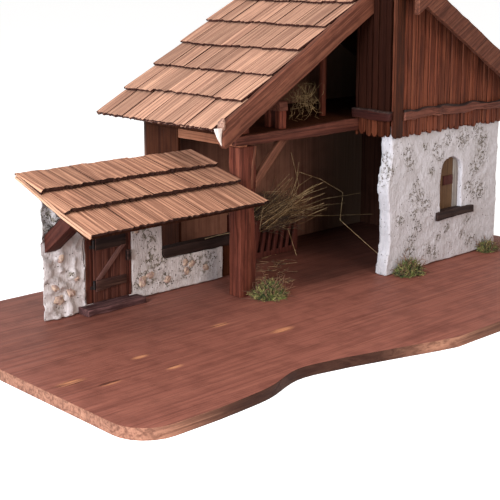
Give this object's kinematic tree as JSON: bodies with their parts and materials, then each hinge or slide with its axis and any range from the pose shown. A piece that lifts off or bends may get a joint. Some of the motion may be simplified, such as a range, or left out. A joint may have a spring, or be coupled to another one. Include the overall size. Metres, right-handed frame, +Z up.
{
  "type": "nativity stable",
  "caption": "Rustic nativity stable: shingled barn with loft and hay rack, plaster house block with arched window, and a canopied annex wall with a hinged plank door.",
  "frame": {"origin": "on the underside of the base board, 80 mm right of the barn's left wall and 43 mm in front of the front face of the barn's corner post", "axes": "+X to the right along the front, +Y to the back, +Z up"},
  "size_m": [0.8539, 0.4742, 0.3961],
  "materials": {
    "base_wood": "stained reddish brown, matt",
    "beam_wood": "stained brown, rough-cut",
    "dark_wood": "dark stained, matt",
    "door_wood": "dark red-brown stained planks",
    "panel_wood": "stained plywood",
    "shingle_wood": "split orange-brown shingles",
    "main_shingle_wood": "split light brown shingles",
    "cladding_wood": "red-brown vertical boards",
    "red_wood": "dark red stained slats",
    "plaster": "off-white hand-applied plaster",
    "iron": "black iron",
    "hay": "dried grass",
    "moss": "dried green moss"
  },
  "bodies": {
    "stable": {"base_board": "base_wood", "corner_post": "beam_wood", "stub_post": "beam_wood", "wall_plate": "beam_wood", "tie_beam": "beam_wood", "tie_brace": "beam_wood", "ridge_beam": "beam_wood", "barge_board_barn": "beam_wood", "barge_board_house": "beam_wood", "left_wall_panel": "panel_wood", "back_panel_left": "panel_wood", "back_panel_right": "panel_wood", "loft_floor": "panel_wood", "roof_deck_left": "panel_wood", "roof_deck_right": "panel_wood", "roof_shingles_left": "main_shingle_wood", "roof_shingles_right": "main_shingle_wood", "ridge_cap": "main_shingle_wood", "loft_post": "beam_wood", "loft_rail_post_front": "beam_wood", "loft_rail_post_rear": "beam_wood", "loft_rail": "cladding_wood", "house_front_wall": "plaster", "house_side_wall": "plaster", "window_sill": "dark_wood", "window_transom": "red_wood", "cladding_front": "cladding_wood", "cladding_side": "cladding_wood", "corner_board": "cladding_wood", "front_rail": "cladding_wood", "side_rail": "red_wood", "annex_wall": "plaster", "half_wall_sill": "dark_wood", "sill_end_board": "panel_wood", "door_step": "dark_wood", "annex_ledger": "beam_wood", "annex_knee_brace": "beam_wood", "annex_roof_deck": "shingle_wood", "annex_shingles": "shingle_wood", "door_jamb_left": "door_wood", "door_jamb_right": "door_wood", "door_lintel": "door_wood", "door_hinge_pintle_bottom": "iron", "door_hinge_pintle_top": "iron", "hay_rack": "red_wood", "hay_pile": "hay", "loft_hay": "hay", "moss_post": "moss", "moss_house": "moss"},
    "door": {"door_plank_1": "door_wood", "door_plank_2": "door_wood", "door_plank_3": "door_wood", "door_plank_4": "door_wood", "door_batten_bottom": "door_wood", "door_batten_top": "door_wood", "door_brace": "beam_wood", "door_handle": "dark_wood", "door_hinge_strap_bottom": "iron", "door_hinge_strap_top": "iron"}
  },
  "joints": [
    {"name": "door_swing", "type": "hinge", "parent": "stable", "child": "door", "pos_m": [-0.2384, 0.1243, 0.0208], "axis": [0, 0, -1], "range_deg": [0, 100]}
  ]
}
